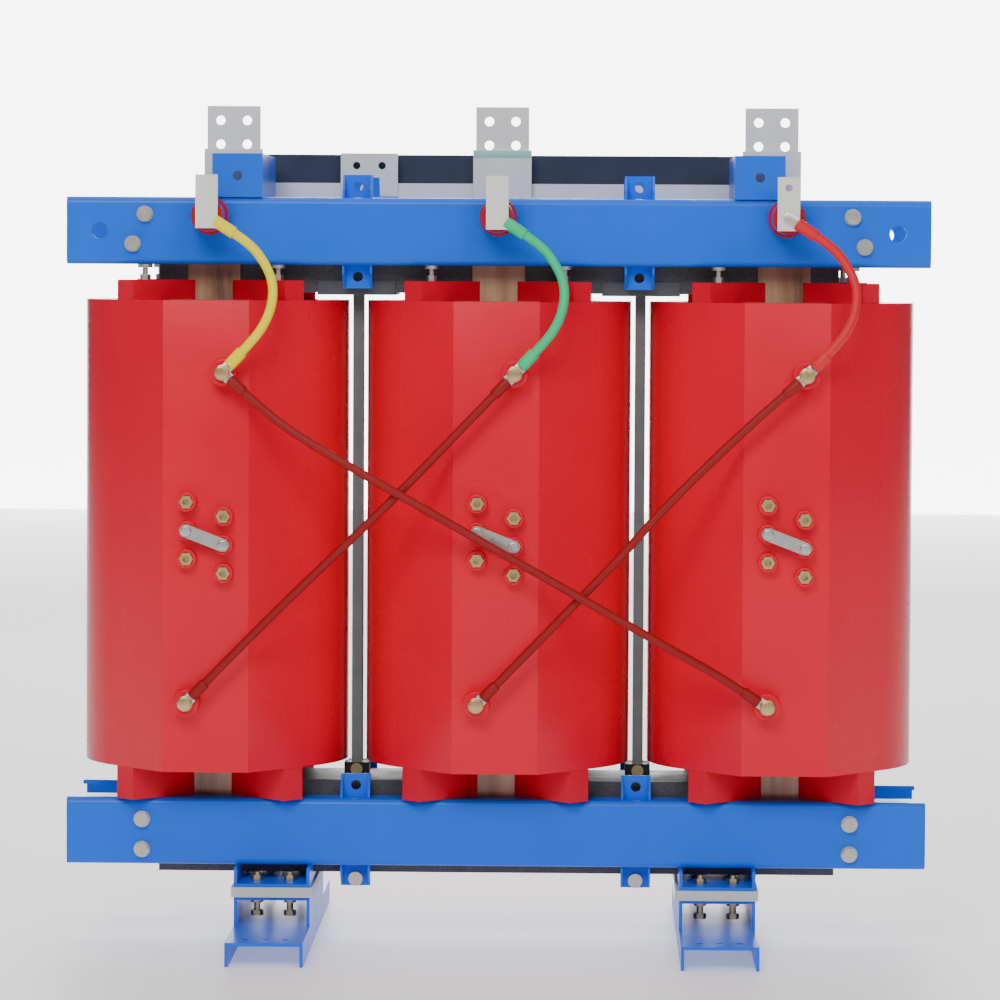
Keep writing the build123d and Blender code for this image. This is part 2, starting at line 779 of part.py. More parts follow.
def add_lug(centre, depth, angle, eye_radius, reach, barrel, diameter):
    with BuildSketch(Plane.XZ.offset(depth)) as tongue:
        with Locations(centre):
            Circle(tongue_width / 2)
        middle = along(centre, angle, reach / 2 + 1)
        with Locations(Location((*middle, 0), (0, 0, angle))):
            Rectangle(reach + 2, tongue_width)
        with Locations(centre):
            Circle(eye_radius, mode=Mode.SUBTRACT)
    extrude(tongue.sketch, amount=tongue_thickness)
    mouth = along(centre, angle, reach)
    heading = Vector(cos(radians(angle)), 0, sin(radians(angle)))
    with BuildSketch(Plane((mouth[0], -depth - tongue_thickness / 2, mouth[1]), z_dir=heading)) as end:
        Circle(diameter / 2 + lug_wall)
    extrude(end.sketch, amount=barrel)


upper_ends = {phase: (axis + upper_terminal[0], upper_terminal[1]) for phase, axis in phases.items()}
lower_ends = {phase: (axis + lower_terminal[0], lower_terminal[1]) for phase, axis in phases.items()}
post_ends = {phase: (axis, post_height) for phase, axis in phases.items()}
bar_lug_depth = {"a": post_face, "b": post_face, "c": bar_front}
eye_radius = thread_diameter / 2 + hole_clearance / 2
delta_ends = (
    ("ac", upper_ends["a"], -42, lower_ends["c"], 147),
    ("ba", upper_ends["b"], -134, lower_ends["a"], 46),
    ("cb", upper_ends["c"], -139, lower_ends["b"], 46),
)

with BuildPart() as lead_lugs:
    for phase in phases:
        add_lug(post_ends[phase], bar_lug_depth[phase], lead_start_angle, post_stud_radius,
                bar_lug_reach, bar_lug_barrel, lead_diameter)
        add_lug(upper_ends[phase], terminal_tip + tongue_thickness, lead_end_angle, eye_radius,
                lug_reach, lug_barrel, lead_diameter)
save(lead_lugs, "lead_lugs")

with BuildPart() as delta_lugs:
    for _, start, start_angle, end, end_angle in delta_ends:
        add_lug(start, terminal_tip, start_angle, eye_radius, lug_reach, lug_barrel, delta_diameter)
        add_lug(end, terminal_tip, end_angle, eye_radius, lug_reach, lug_barrel, delta_diameter)
save(delta_lugs, "delta_lugs")


def corner_radii(points):
    """Arcs as large as the two runs at each corner allow."""
    radii = []
    for before, corner, after in zip(points, points[1:], points[2:]):
        arriving, leaving = Vector(*corner) - Vector(*before), Vector(*after) - Vector(*corner)
        shorter = min(arriving.length, leaving.length)
        radii.append(0.45 * shorter / tan(radians(arriving.get_angle(leaving) / 2)))
    return radii


def cable(points, diameter, name):
    radii = corner_radii(points)
    with BuildPart() as tube:
        with BuildLine() as route:
            FilletPolyline(*points, radius=radii)
        start = Plane(route.line @ 0, z_dir=route.line % 0)
        with BuildSketch(start):
            Circle(diameter / 2)
        sweep()
    length = sum(edge.length for edge in route.edges())
    print(name, "length", round(length), "smallest radius", round(min(radii)),
          "volume by section", round(tube.part.volume / (pi * diameter ** 2 / 4 * length), 4))
    save(tube, name)


# Leads from the front bars down to the upper terminals, the same curve on each phase
lead_curve = ((104, 1247, 273), (118, 1218, 283), (122, 1190, 293), (117, 1160, 303), (106, 1134, 313))
for phase, axis in phases.items():
    start_depth = bar_lug_depth[phase] + tongue_thickness / 2
    end_depth = terminal_tip + 1.5 * tongue_thickness
    lug_end, terminal_end = bar_lug_reach + bar_lug_barrel, lug_reach + lug_barrel
    starts = [along(post_ends[phase], lead_start_angle, lug_end + run) for run in (0, lead_first_run)]
    ends = [along(upper_ends[phase], lead_end_angle, terminal_end + run) for run in (lead_last_run, 0)]
    cable([(x, -start_depth, z) for x, z in starts]
          + [(axis + x, -y, z) for x, z, y in lead_curve]
          + [(x, -end_depth, z) for x, z in ends], lead_diameter, f"lead_{phase}")

# Delta connections, each from an upper terminal to the lower terminal of another phase
delta_curves = {
    "ac": (45, ((-365, 947, 325), (-294, 905, 335), (-187, 845, 343), (277, 584, 343), (340, 549, 333)), 55),
    "ba": (80, ((-187, 820, 323), (-347, 668, 323)), 90),
    "cb": (85, ((300, 814, 323), (231, 733, 323)), 90),
}
for pair, start, start_angle, end, end_angle in delta_ends:
    first_run, curve, last_run = delta_curves[pair]
    depth = terminal_tip + tongue_thickness / 2
    terminal_end = lug_reach + lug_barrel
    starts = [along(start, start_angle, terminal_end + run) for run in (0, first_run)]
    ends = [along(end, end_angle, terminal_end + run) for run in (last_run, 0)]
    cable([(x, -depth, z) for x, z in starts]
          + [(x, -y, z) for x, z, y in curve]
          + [(x, -depth, z) for x, z in ends], delta_diameter, f"delta_lead_{pair}")
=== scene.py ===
import json
from math import acos, atan2, cos, hypot, radians, sin, sqrt

import bpy
from mathutils import Matrix, Vector


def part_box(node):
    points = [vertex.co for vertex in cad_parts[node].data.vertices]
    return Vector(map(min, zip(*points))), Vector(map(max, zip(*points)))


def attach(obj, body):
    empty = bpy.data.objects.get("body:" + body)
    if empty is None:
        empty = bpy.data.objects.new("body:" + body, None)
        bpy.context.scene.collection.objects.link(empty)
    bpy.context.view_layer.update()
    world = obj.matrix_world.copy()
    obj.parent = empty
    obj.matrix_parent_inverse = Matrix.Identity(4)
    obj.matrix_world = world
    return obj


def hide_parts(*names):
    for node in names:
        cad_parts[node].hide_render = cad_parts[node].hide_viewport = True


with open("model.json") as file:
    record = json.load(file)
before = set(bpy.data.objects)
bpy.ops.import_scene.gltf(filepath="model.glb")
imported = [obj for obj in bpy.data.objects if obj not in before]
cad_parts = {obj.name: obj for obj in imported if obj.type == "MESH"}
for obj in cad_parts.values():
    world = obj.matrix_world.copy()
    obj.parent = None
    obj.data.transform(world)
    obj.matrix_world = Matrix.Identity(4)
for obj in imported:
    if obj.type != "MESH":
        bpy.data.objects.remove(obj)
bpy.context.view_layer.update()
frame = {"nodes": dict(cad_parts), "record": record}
cadNodes = frame["nodes"]
phases = {"a": -0.520, "b": 0.0, "c": 0.520}  # each phase's place along X
upright = (0, 0, 0)
toFront = (radians(90), 0, 0)  # lays a cylinder or a plane towards the front
print("frame loaded,", len(cadNodes), "nodes")


# Camera, nearly straight on, far away with a long lens, angles in degrees
cameraSetup = {"place": (0.1607, -8.2398, 1.2512), "turn": 1.10, "tilt": 86.93, "roll": 0.31,
               "lens": 160.45, "farthest": 100}


def addCamera():
    turn = Matrix.Rotation(radians(cameraSetup["turn"]), 4, "Z")
    tilt = Matrix.Rotation(radians(cameraSetup["tilt"]), 4, "X")
    roll = Matrix.Rotation(radians(cameraSetup["roll"]), 4, "Z")
    bpy.ops.object.camera_add(location=cameraSetup["place"], rotation=(turn @ tilt @ roll).to_euler())
    camera = bpy.context.active_object
    camera.name = "camera"
    camera.data.lens = cameraSetup["lens"]
    camera.data.clip_end = cameraSetup["farthest"]
    bpy.context.scene.camera = camera


# Lights: name, place, size, power
lightSetup = (
    ("keyLight", (-1.4, -6.5, 4.8), 2.6, 250),
    ("fillLight", (2.4, -6.5, 3.8), 2.6, 90),
    ("topLight", (0.0, 0.0, 4.8), 4.0, 90),
    ("backLight", (0.0, 6.0, 4.0), 3.0, 150),
)
studioSetup = {"target": (0, 0, 0.8), "skyColour": (0.94, 0.95, 0.97), "skyStrength": 0.18}


def addLights():
    target = Vector(studioSetup["target"])
    for name, place, size, power in lightSetup:
        aim = (target - Vector(place)).to_track_quat("-Z", "Y").to_euler()
        bpy.ops.object.light_add(type="AREA", location=place, rotation=aim)
        light = bpy.context.active_object
        light.name = name
        light.data.size = size
        light.data.energy = power
    world = bpy.data.worlds.new("studio")
    bpy.context.scene.world = world
    world.use_nodes = True
    sky = world.node_tree.nodes["Background"]
    sky.inputs["Color"].default_value = (*studioSetup["skyColour"], 1)
    sky.inputs["Strength"].default_value = studioSetup["skyStrength"]


addCamera()
addLights()
print("camera and lights ready")


# Adding, selecting, finishing and joining pieces
def pickOnly(piece):
    bpy.ops.object.select_all(action="DESELECT")
    piece.select_set(True)
    bpy.context.view_layer.objects.active = piece


def namePiece(name):
    piece = bpy.context.active_object
    piece.name = name
    bpy.ops.object.transform_apply(location=True, rotation=True, scale=True)
    return piece


def addRound(name, radius, depth, place, turned=toFront, vertices=48):
    bpy.ops.mesh.primitive_cylinder_add(vertices=vertices, radius=radius, depth=depth, location=place,
                                        rotation=turned)
    return namePiece(name)


def addBox(name, place, size):
    bpy.ops.mesh.primitive_cube_add(size=1, location=place)
    bpy.context.active_object.scale = size
    return namePiece(name)


def editVertices(piece, wanted):
    for part in (*piece.data.edges, *piece.data.polygons):
        part.select = False
    for vertex in piece.data.vertices:
        vertex.select = wanted(vertex.co)
    bpy.context.tool_settings.mesh_select_mode = (True, False, False)
    bpy.ops.object.mode_set(mode="EDIT")


def editFrontFace(piece):
    for part in (*piece.data.vertices, *piece.data.edges):
        part.select = False
    for face in piece.data.polygons:
        face.select = face.normal.y < -0.9  # looks towards the front
    bpy.context.tool_settings.mesh_select_mode = (False, False, True)
    bpy.ops.object.mode_set(mode="EDIT")


def applyModifier(piece, kind, **settings):
    pickOnly(piece)
    modifier = piece.modifiers.new(kind.title(), kind)
    for key, value in settings.items():
        setattr(modifier, key, value)
    bpy.ops.object.modifier_apply(modifier=modifier.name)


def combine(piece, other, operation):
    applyModifier(piece, "BOOLEAN", operation=operation, solver="EXACT", object=other)
    bpy.data.objects.remove(other)


def roundEdges(piece, width, segments, angle=40):
    applyModifier(piece, "BEVEL", width=width, segments=segments, limit_method="ANGLE",
                  angle_limit=radians(angle))


def joinPieces(pieces, name):
    bpy.ops.object.select_all(action="DESELECT")
    for piece in pieces:
        piece.select_set(True)
    bpy.context.view_layer.objects.active = pieces[0]
    bpy.ops.object.join()
    pieces[0].name = name
    return pieces[0]


def finishPiece(piece, finish, angle=35):
    pickOnly(piece)
    bpy.ops.object.shade_smooth_by_angle(angle=radians(angle))
    piece.data.materials.clear()
    piece.data.materials.append(finish)
    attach(piece, "root")
    return piece


# Parts of a material
glossSetup = {"coatRoughness": 0.08, "specular": 0.25}
noiseReach = (0.1, 0.9)  # nearly all of a noise lies between these


def startMaterial(name, colour, roughness, metallic=0.0, coat=0.0):
    material = bpy.data.materials.new(name)
    material.use_nodes = True
    shader = material.node_tree.nodes["Principled BSDF"]
    shader.inputs["Base Color"].default_value = (*colour, 1)
    shader.inputs["Roughness"].default_value = roughness
    shader.inputs["Metallic"].default_value = metallic
    shader.inputs["Coat Weight"].default_value = coat
    shader.inputs["Coat Roughness"].default_value = glossSetup["coatRoughness"]
    shader.inputs["Specular IOR Level"].default_value = glossSetup["specular"]
    return material, material.node_tree, shader


def addNoise(tree, scale, detail=3, stretch=(1, 1, 1)):
    place = tree.nodes.new("ShaderNodeTexCoord")
    mapping = tree.nodes.new("ShaderNodeMapping")
    mapping.inputs["Scale"].default_value = stretch
    noise = tree.nodes.new("ShaderNodeTexNoise")
    noise.inputs["Scale"].default_value = scale
    noise.inputs["Detail"].default_value = detail
    tree.links.new(place.outputs["Object"], mapping.inputs["Vector"])
    tree.links.new(mapping.outputs["Vector"], noise.inputs["Vector"])
    return noise.outputs["Fac"]


def addBands(tree, scale, direction, distortion):
    place = tree.nodes.new("ShaderNodeTexCoord")
    bands = tree.nodes.new("ShaderNodeTexWave")
    bands.bands_direction = direction
    bands.inputs["Scale"].default_value = scale
    bands.inputs["Distortion"].default_value = distortion
    tree.links.new(place.outputs["Object"], bands.inputs["Vector"])
    return bands.outputs["Fac"]


def colourBetween(tree, shader, factor, stops):
    ramp = tree.nodes.new("ShaderNodeValToRGB")
    while len(ramp.color_ramp.elements) < len(stops):
        ramp.color_ramp.elements.new(0.5)
    for element, (position, colour) in zip(ramp.color_ramp.elements, stops):
        element.position = position
        element.color = (*colour, 1)
    tree.links.new(factor, ramp.inputs["Fac"])
    tree.links.new(ramp.outputs["Color"], shader.inputs["Base Color"])


def roughnessBetween(tree, shader, factor, smoothest, roughest):
    spread = tree.nodes.new("ShaderNodeMapRange")
    spread.inputs["From Min"].default_value, spread.inputs["From Max"].default_value = noiseReach
    spread.inputs["To Min"].default_value = smoothest
    spread.inputs["To Max"].default_value = roughest
    tree.links.new(factor, spread.inputs["Value"])
    tree.links.new(spread.outputs["Result"], shader.inputs["Roughness"])


def addBump(tree, shader, height, strength, distance=0.001):
    bump = tree.nodes.new("ShaderNodeBump")
    bump.inputs["Strength"].default_value = strength
    bump.inputs["Distance"].default_value = distance
    tree.links.new(height, bump.inputs["Height"])
    tree.links.new(bump.outputs["Normal"], shader.inputs["Normal"])


def addGlow(shader, strength):
    shader.inputs["Emission Color"].default_value = (1.0, 1.0, 1.0, 1)
    shader.inputs["Emission Strength"].default_value = strength


# Finishes. Core steel shows its laminations, film its streaks, and the foil winding its turns
def coreFinish():
    material, tree, shader = startMaterial("coreVarnish", (0.10, 0.105, 0.11), 0.45, 0.3)
    layers = addBands(tree, 320, "Y", 0.6)
    colourBetween(tree, shader, layers, ((0.2, (0.05, 0.05, 0.055)), (0.8, (0.17, 0.17, 0.18))))
    roughnessBetween(tree, shader, addNoise(tree, 18), 0.35, 0.6)
    addBump(tree, shader, layers, 0.5, 0.0006)
    return material


def filmFinish():
    material, tree, shader = startMaterial("amberFilm", (0.46, 0.26, 0.15), 0.22, 0.0, 0.6)
    streaks = addNoise(tree, 26, 5, (1, 1, 0.12))
    colourBetween(tree, shader, streaks, ((0.30, (0.10, 0.06, 0.05)), (0.42, (0.36, 0.19, 0.11)),
                                          (0.60, (0.56, 0.34, 0.21)), (0.8, (0.70, 0.50, 0.36))))
    roughnessBetween(tree, shader, addNoise(tree, 60), 0.14, 0.34)
    addBump(tree, shader, addNoise(tree, 45, 3, (1, 1, 0.2)), 0.5, 0.0015)
    return material


def foilFinish():
    material, tree, shader = startMaterial("foilWinding", (0.50, 0.38, 0.22), 0.4, 0.0, 0.3)
    cloud = addNoise(tree, 14, 4, (1, 1, 0.4))
    colourBetween(tree, shader, cloud, ((0.3, (0.34, 0.23, 0.11)), (0.7, (0.62, 0.49, 0.30))))
    roughnessBetween(tree, shader, cloud, 0.3, 0.5)
    addBump(tree, shader, addBands(tree, 40, "Z", 2.0), 0.2, 0.001)
    return material


# Plain finishes: a colour with a soft cloud over it, and a fine grain. spread is the cloud's share of
# the colour, and bump is the grain's strength
plainSetup = {"smoothest": 0.8, "roughest": 1.25, "fineGrain": 12, "cloudDetail": 4, "grainDetail": 2}
plainLooks = {
    "blue_paint": {"name": "blueEnamel", "colour": (0.002, 0.140, 0.860), "roughness": 0.32,
                   "grain": 9, "bump": 0.05, "spread": 0.05},
    "zinc": {"name": "brightZinc", "colour": (0.58, 0.57, 0.53), "roughness": 0.30,
             "grain": 60, "bump": 0.10, "spread": 0.12, "metallic": 0.9},
    "yellow_zinc": {"name": "yellowZinc", "colour": (0.62, 0.50, 0.24), "roughness": 0.30,
                    "grain": 60, "bump": 0.10, "spread": 0.20, "metallic": 0.9},
    "brass": {"name": "turnedBrass", "colour": (0.62, 0.46, 0.22), "roughness": 0.28,
              "grain": 60, "bump": 0.10, "spread": 0.12, "metallic": 0.9},
    "hv_resin": {"name": "castResin", "colour": (0.800, 0.001, 0.028), "roughness": 0.26,
                 "grain": 5, "bump": 0.03, "spread": 0.06},
    "block_resin": {"name": "blockResin", "colour": (0.700, 0.001, 0.026), "roughness": 0.36,
                    "grain": 20, "bump": 0.08, "spread": 0.08},
    "post_resin": {"name": "postResin", "colour": (0.42, 0.012, 0.014), "roughness": 0.25,
                   "grain": 20, "bump": 0.05, "spread": 0.08, "coat": 0.4},
    "tinned_bar": {"name": "tinnedBar", "colour": (0.80, 0.80, 0.77), "roughness": 0.42,
                   "grain": 24, "bump": 0.12, "spread": 0.06, "metallic": 0.25, "stretch": (1, 1, 0.15)},
    "board": {"name": "navyBoard", "colour": (0.030, 0.042, 0.080), "roughness": 0.40,
              "grain": 24, "bump": 0.10, "spread": 0.15},
    "spacer": {"name": "spacerResin", "colour": (0.50, 0.02, 0.02), "roughness": 0.35,
               "grain": 30, "bump": 0.06, "spread": 0.08},
    "strut_grey": {"name": "greyCoat", "colour": (0.15, 0.165, 0.175), "roughness": 0.42,
                   "grain": 30, "bump": 0.12, "spread": 0.15, "metallic": 0.2},
    "saddle_steel": {"name": "saddleCoat", "colour": (0.10, 0.11, 0.12), "roughness": 0.42,
                     "grain": 30, "bump": 0.12, "spread": 0.15, "metallic": 0.2},
    "shoe_rubber": {"name": "blackRubber", "colour": (0.022, 0.022, 0.022), "roughness": 0.55,
                    "grain": 40, "bump": 0.15, "spread": 0.15},
    "pad": {"name": "palePad", "colour": (0.66, 0.68, 0.66), "roughness": 0.60,
            "grain": 40, "bump": 0.25, "spread": 0.10},
    "lug_sleeve": {"name": "tinnedLug", "colour": (0.60, 0.60, 0.58), "roughness": 0.32,
                   "grain": 80, "bump": 0.08, "spread": 0.08, "metallic": 0.8},
    "lead_yellow": {"name": "yellowSleeve", "colour": (1.0, 0.82, 0.0), "roughness": 0.42,
                    "grain": 60, "bump": 0.10, "spread": 0.06},
    "lead_green": {"name": "greenSleeve", "colour": (0.0, 0.62, 0.24), "roughness": 0.42,
                   "grain": 60, "bump": 0.10, "spread": 0.06},
    "lead_red": {"name": "redSleeve", "colour": (0.74, 0.018, 0.028), "roughness": 0.42,
                 "grain": 60, "bump": 0.10, "spread": 0.06},
    "delta_red": {"name": "deltaSleeve", "colour": (0.30, 0.010, 0.010), "roughness": 0.45,
                  "grain": 60, "bump": 0.12, "spread": 0.12},
}
tapeLook = {"name": "paleTape", "colour": (0.36, 0.74, 0.58), "roughness": 0.35,
            "grain": 60, "bump": 0.10, "spread": 0.10}


def plainFinish(name, colour, roughness, grain, bump, spread, metallic=0.0, coat=0.0, stretch=(1, 1, 1)):
    setup = plainSetup
    material, tree, shader = startMaterial(name, colour, roughness, metallic, coat)
    cloud = addNoise(tree, grain, setup["cloudDetail"], stretch)
    dark = tuple(part * (1 - spread) for part in colour)
    light = tuple(min(1, part * (1 + spread)) for part in colour)
    colourBetween(tree, shader, cloud, tuple(zip(noiseReach, (dark, light))))
    roughnessBetween(tree, shader, cloud, roughness * setup["smoothest"], roughness * setup["roughest"])
    addBump(tree, shader, addNoise(tree, grain * setup["fineGrain"], setup["grainDetail"], stretch), bump)
    return material


finishes = {"core_steel": coreFinish(), "tie_wrap": filmFinish(), "lv_wrap": foilFinish()}
for slot, look in plainLooks.items():
    finishes[slot] = plainFinish(**look)
slotOf = {row["node"]: row["material_slot"] for row in frame["record"]["subparts"]}
for nodeName, node in cadNodes.items():
    node.data.materials.clear()
    node.data.materials.append(finishes[slotOf[nodeName]])
print("finishes ready")


# High-voltage coils: a round casting with a flat nose in front, bosses and a bore
coilCast = {"radius": 0.243, "bore": 0.190, "boreSpare": 0.1, "nose": 0.274, "flat": 0.154,
            "bottom": 0.330, "height": 0.848, "edge": 0.005, "edgeAngle": 25}
bossCast = {"columnOffset": 0.033, "pitch": 0.051, "tapRadius": 0.0175, "tapHeight": 0.024,
            "endRadius": 0.024, "endHeight": 0.038, "endInset": 0.128, "collar": 0.004,
            "collarLap": 0.001, "sunk": 0.004, "edge": 0.0018, "socketRadius": 0.011,
            "socketDepth": 0.010, "socketWider": 0.0002, "socketDeeper": 0.0003}
coilMiddle = coilCast["bottom"] + coilCast["height"] / 2


def castBody(axis):
    shape = coilCast
    body = addRound("coilBody", shape["radius"], shape["height"], (axis, 0, coilMiddle), upright, 192)
    halfFlat = shape["flat"] / 2
    # The nose's flanks leave the round part where they are tangent to it
    turn = atan2(halfFlat, shape["nose"]) + acos(shape["radius"] / hypot(halfFlat, shape["nose"]))
    rootHalf, rootDepth = shape["radius"] * sin(turn), shape["radius"] * cos(turn)
    noseMiddle = -(shape["nose"] + rootDepth) / 2
    nose = addBox("coilNose", (axis, noseMiddle, coilMiddle),
                  (2 * rootHalf, shape["nose"] - rootDepth, shape["height"]))
    editVertices(nose, lambda co: co.y < noseMiddle)
    bpy.ops.transform.resize(value=(halfFlat / rootHalf, 1, 1),
                             center_override=(axis, -shape["nose"], coilMiddle))
    bpy.ops.object.mode_set(mode="OBJECT")
    combine(body, nose, "UNION")
    bore = addRound("coilBore", shape["bore"], shape["height"] + shape["boreSpare"], (axis, 0, coilMiddle),
                    upright, 128)
    combine(body, bore, "DIFFERENCE")
    roundEdges(body, shape["edge"], 4, shape["edgeAngle"])
    return body


def castBoss(x, z, radius, height):
    shape = bossCast
    front, sunk = coilCast["nose"], shape["sunk"]
    boss = addRound("boss", radius, height + sunk, (x, -front - (height - sunk) / 2, z))
    editFrontFace(boss)
    bpy.ops.mesh.inset(thickness=radius - shape["socketRadius"] - shape["socketWider"])
    deep = shape["socketDepth"] + shape["socketDeeper"]
    bpy.ops.mesh.extrude_region_move(TRANSFORM_OT_translate={"value": (0, deep, 0)})
    bpy.ops.object.mode_set(mode="OBJECT")
    roundEdges(boss, shape["edge"], 3)
    bpy.ops.mesh.primitive_cone_add(vertices=48, radius1=radius + shape["collar"],
                                    radius2=radius - shape["collarLap"], depth=2 * shape["collar"],
                                    rotation=toFront, location=(x, -front, z))
    return [boss, namePiece("collar")]


def castCoil(phase, axis):
    shape = bossCast
    parts = [castBody(axis)]
    for side in (-1, 1):
        x = axis + side * shape["columnOffset"]
        for row in (-1, 0, 1):
            z = coilMiddle - side * shape["pitch"] / 4 + row * shape["pitch"]
            parts += castBoss(x, z, shape["tapRadius"], shape["tapHeight"])
        z = coilMiddle + side * (coilCast["height"] / 2 - shape["endInset"])
        parts += castBoss(x, z, shape["endRadius"], shape["endHeight"])
    coil = joinPieces(parts, "castCoil" + phase.upper())
    finishPiece(coil, finishes["hv_resin"], 30)
    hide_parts("hv_coil_" + phase)


for phase, axis in phases.items():
    castCoil(phase, axis)
print("coils cast")


# Cables. A route runs from lug to lug, leaves each in the lug's direction, and bends at its middle
# points, (x, y, z). A lead's middle points are counted from its phase's axis. Angles are in degrees
cableShape = {
    "leadDiameter": 0.017, "deltaDiameter": 0.015, "roundSteps": 6, "curveSteps": 12, "order": 3,
    "barEyeHeight": 1.330, "barDepth": {"a": 0.2635, "b": 0.2635, "c": 0.2715}, "barLug": 0.059,
    "startAngle": -33, "endAngle": 47, "firstRun": 0.035, "lastRun": 0.033,
    "terminalLug": 0.052, "leadDepth": 0.3205, "deltaDepth": 0.3175,
    "columnOffset": 0.033, "upperHeight": 1.050, "lowerHeight": 0.458,
}
leadCurve = ((0.104, -0.273, 1.247), (0.118, -0.283, 1.218), (0.122, -0.293, 1.190),
             (0.117, -0.303, 1.160), (0.106, -0.313, 1.134))
leadSlots = {"a": "lead_yellow", "b": "lead_green", "c": "lead_red"}
deltaRoutes = {
    "ac": {"from": "a", "angles": (-42, 147), "runs": (0.045, 0.055), "to": "c", "length": 1.042,
           "curve": ((-0.365, -0.325, 0.947), (-0.294, -0.335, 0.905), (-0.187, -0.343, 0.845),
                     (0.277, -0.343, 0.584), (0.340, -0.333, 0.549))},
    "ba": {"from": "b", "angles": (-134, 46), "runs": (0.080, 0.090), "to": "a", "length": 0.729,
           "curve": ((-0.187, -0.323, 0.820), (-0.347, -0.323, 0.668))},
    "cb": {"from": "c", "angles": (-139, 46), "runs": (0.085, 0.090), "to": "b", "length": 0.730,
           "curve": ((0.300, -0.323, 0.814), (0.231, -0.323, 0.733))},
}


def along(spot, angle, distance):
    x, y, z = spot
    return x + distance * cos(radians(angle)), y, z + distance * sin(radians(angle))


def leadEyes(phase):
    shape = cableShape
    return ((phases[phase], -shape["barDepth"][phase], shape["barEyeHeight"]),
            (phases[phase] + shape["columnOffset"], -shape["leadDepth"], shape["upperHeight"]))


def deltaEyes(route):
    shape = cableShape
    return ((phases[route["from"]] + shape["columnOffset"], -shape["deltaDepth"], shape["upperHeight"]),
            (phases[route["to"]] - shape["columnOffset"], -shape["deltaDepth"], shape["lowerHeight"]))


def addCable(name, points, diameter, slot):
    shape = cableShape
    curve = bpy.data.curves.new(name, "CURVE")
    curve.dimensions = "3D"
    curve.bevel_depth = diameter / 2
    curve.bevel_resolution = shape["roundSteps"]
    curve.resolution_u = shape["curveSteps"]
    spline = curve.splines.new("NURBS")
    spline.points.add(len(points) - 1)
    for control, point in zip(spline.points, points):
        control.co = (*point, 1)
    spline.order_u = shape["order"]
    spline.use_endpoint_u = True
    cable = bpy.data.objects.new(name, curve)
    bpy.context.collection.objects.link(cable)
    curve.materials.append(finishes[slot])
    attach(cable, "root")
    return cable


def addLeads():
    shape = cableShape
    for phase, axis in phases.items():
        upper, lower = leadEyes(phase)
        start = [along(upper, shape["startAngle"], shape["barLug"] + run) for run in (0, shape["firstRun"])]
        middle = [(axis + x, y, z) for x, y, z in leadCurve]
        end = [along(lower, shape["endAngle"], shape["terminalLug"] + run) for run in (shape["lastRun"], 0)]
        lead = addCable("leadCable" + phase.upper(), start + middle + end, shape["leadDiameter"],
                        leadSlots[phase])
        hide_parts("lead_" + phase)


def addDeltaCables():
    shape = cableShape
    for pair, route in deltaRoutes.items():
        (first, last), (firstRun, lastRun) = deltaEyes(route), route["runs"]
        startAngle, endAngle = route["angles"]
        start = [along(first, startAngle, shape["terminalLug"] + run) for run in (0, firstRun)]
        end = [along(last, endAngle, shape["terminalLug"] + run) for run in (lastRun, 0)]
        cable = addCable("deltaCable" + pair.upper(), start + list(route["curve"]) + end,
                         shape["deltaDiameter"], "delta_red")
        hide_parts("delta_lead_" + pair)


addLeads()
addDeltaCables()
print("cables ready")


# Lugs: a pressed eye under the bolt, and a shrink sleeve in the cable's colour over the barrel
lugShape = {"eye": 0.010, "thickness": 0.003, "edge": 0.0005, "wall": 0.0025, "sleeveStart": 0.017,
            "sleeveEdge": 0.0022, "bar": {"reach": 0.034, "barrel": 0.025},
            "terminal": {"reach": 0.026, "barrel": 0.026}}


def addTongue(name, spot, angle, reach):
    shape = lugShape
    eye = addRound(name, shape["eye"], shape["thickness"], spot, toFront, 40)
    heading = Vector((cos(radians(angle)), 0, sin(radians(angle))))
    barely = 0.0001
    editVertices(eye, lambda co: (co - Vector(spot)).dot(heading) > -barely)
    bpy.ops.transform.translate(value=heading * (reach - shape["eye"]))
    bpy.ops.object.mode_set(mode="OBJECT")
    roundEdges(eye, shape["edge"], 2)
    return eye


def addSleeve(name, spot, angle, end, diameter):
    shape = lugShape
    start = shape["sleeveStart"]
    sleeve = addRound(name, diameter / 2 + shape["wall"], end - start, along(spot, angle, (start + end) / 2),
                      (0, radians(90 - angle), 0), 40)
    roundEdges(sleeve, shape["sleeveEdge"], 4)
    return sleeve


def addLug(name, spot, angle, size, diameter, slot):
    reach, barrel = size["reach"], size["barrel"]
    tongue = addTongue(name + "Tongue", spot, angle, reach)
    finishPiece(tongue, finishes["lug_sleeve"])
    sleeve = addSleeve(name + "Sleeve", spot, angle, reach + barrel, diameter)
    finishPiece(sleeve, finishes[slot])
    return tongue


def addAllLugs():
    shape, lug = cableShape, lugShape
    for phase in phases:
        upper, lower = leadEyes(phase)
        tongue = addLug("barLug" + phase.upper(), upper, shape["startAngle"], lug["bar"],
                        shape["leadDiameter"], leadSlots[phase])
        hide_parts("lead_lugs")
        addLug("leadLug" + phase.upper(), lower, shape["endAngle"], lug["terminal"],
               shape["leadDiameter"], leadSlots[phase])
    for pair, route in deltaRoutes.items():
        (first, last), (startAngle, endAngle) = deltaEyes(route), route["angles"]
        tongue = addLug("deltaStart" + pair.upper(), first, startAngle, lug["terminal"],
                        shape["deltaDiameter"], "delta_red")
        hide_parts("delta_lugs")
        addLug("deltaEnd" + pair.upper(), last, endAngle, lug["terminal"],
               shape["deltaDiameter"], "delta_red")


addAllLugs()
print("lugs ready")


# Hex bolts with washers at the terminals
hexBolt = {"acrossFlats": 0.024, "height": 0.009, "chamfer": 0.0018, "washer": 0.014, "washerHeight": 0.0025,
           "washerEdge": 0.0006, "upperSeat": 0.322, "lowerSeat": 0.319, "upperSpin": 18, "lowerSpin": 4}


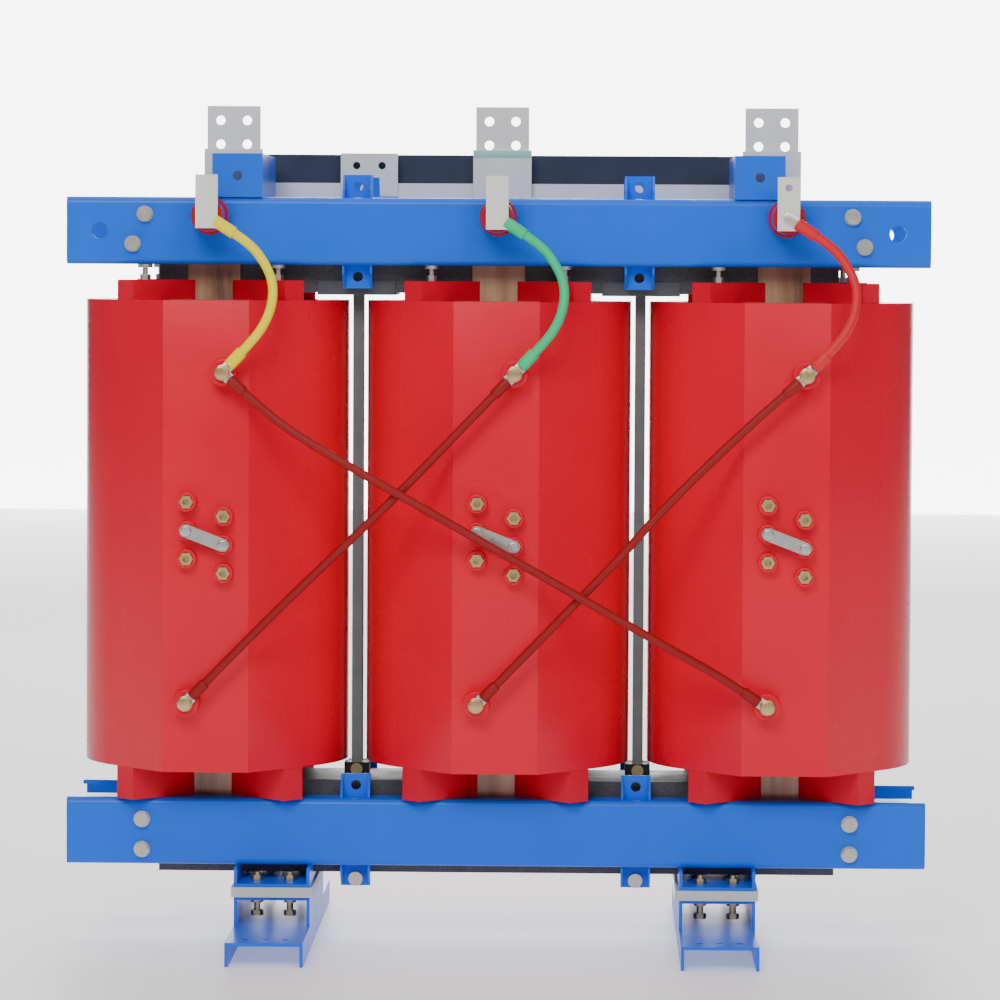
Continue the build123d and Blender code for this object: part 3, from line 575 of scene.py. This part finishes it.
def addHexBolt(x, z, seat, spin):
    shape = hexBolt
    height, washerHeight = shape["height"], shape["washerHeight"]
    washer = addRound("washer", shape["washer"], washerHeight, (x, -seat - washerHeight / 2, z))
    roundEdges(washer, shape["washerEdge"], 2)
    head = addRound("boltHead", shape["acrossFlats"] / sqrt(3), height,
                    (x, -seat - washerHeight - height / 2, z), (radians(90), radians(spin), 0), 6)
    editFrontFace(head)
    bpy.ops.mesh.bevel(offset=shape["chamfer"], segments=3, affect="EDGES")
    bpy.ops.object.mode_set(mode="OBJECT")
    return [washer, head]


def addTerminalBolts():
    shape, cable = hexBolt, cableShape
    parts = []
    for axis in phases.values():
        parts += addHexBolt(axis + cable["columnOffset"], cable["upperHeight"], shape["upperSeat"],
                            shape["upperSpin"])
        parts += addHexBolt(axis - cable["columnOffset"], cable["lowerHeight"], shape["lowerSeat"],
                            shape["lowerSpin"])
    bolts = finishPiece(joinPieces(parts, "terminalBolts"), finishes["brass"])
    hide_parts("terminal_bolts")


# Domed screws at both ends of each tap link
tapScrew = {"radius": 0.0098, "height": 0.0072, "dome": 0.0024}


def addTapScrews(phase, axis):
    shape = tapScrew
    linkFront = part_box("tap_link_" + phase)[0].y
    screws = []
    for side in (-1, 1):
        place = (axis + side * bossCast["columnOffset"], linkFront - shape["height"] / 2,
                 coilMiddle - side * bossCast["pitch"] / 4)
        screw = addRound("tapScrew", shape["radius"], shape["height"], place, toFront, 40)
        roundEdges(screw, shape["dome"], 5)
        screws.append(screw)
    finishPiece(joinPieces(screws, "tapScrews" + phase.upper()), finishes["zinc"])


# Phase tape round the front of the middle low-voltage bar
tapeBand = {"width": 0.1105, "height": 0.013, "thickness": 0.0006, "middle": 1.452, "barThickness": 0.008}


def addTape():
    shape = tapeBand
    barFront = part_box("lv_risers")[1].y - shape["barThickness"]
    tape = addBox("phaseTape", (0, barFront - shape["thickness"] / 2, shape["middle"]),
                  (shape["width"], shape["thickness"], shape["height"]))
    applyModifier(tape, "BEVEL", width=shape["thickness"] / 3, segments=2)
    finishPiece(tape, plainFinish(**tapeLook))


addTerminalBolts()
for phase, axis in phases.items():
    addTapScrews(phase, axis)
addTape()
print("bolts, tap screws and tape ready")


# A pale floor, and a lit white wall far behind it, wide enough for the long lens
floorSetup = {"size": 60, "height": -0.0005, "cloud": 0.6, "glow": 0.35}
wallSetup = {"distance": 14.0, "width": 12.0, "height": 9.0, "glow": 6.0}


def addFloor():
    bpy.ops.mesh.primitive_plane_add(size=floorSetup["size"], location=(0, 0, floorSetup["height"]))
    floor = namePiece("studioFloor")
    material, tree, shader = startMaterial("paleFloor", (0.86, 0.86, 0.87), 0.55)
    cloud = addNoise(tree, floorSetup["cloud"], 2)
    colourBetween(tree, shader, cloud, ((0.3, (0.84, 0.84, 0.85)), (0.7, (0.88, 0.88, 0.89))))
    addGlow(shader, floorSetup["glow"])
    floor.data.materials.append(material)


def addWall():
    place = (0, wallSetup["distance"], wallSetup["height"] / 2)
    bpy.ops.mesh.primitive_plane_add(size=1, location=place, rotation=toFront)
    bpy.context.active_object.scale = (wallSetup["width"], wallSetup["height"], 1)
    wall = namePiece("studioWall")
    material, _, shader = startMaterial("whiteWall", (0.9, 0.9, 0.9), 0.8)
    addGlow(shader, wallSetup["glow"])
    wall.data.materials.append(material)


addFloor()
addWall()
print("floor and wall ready")
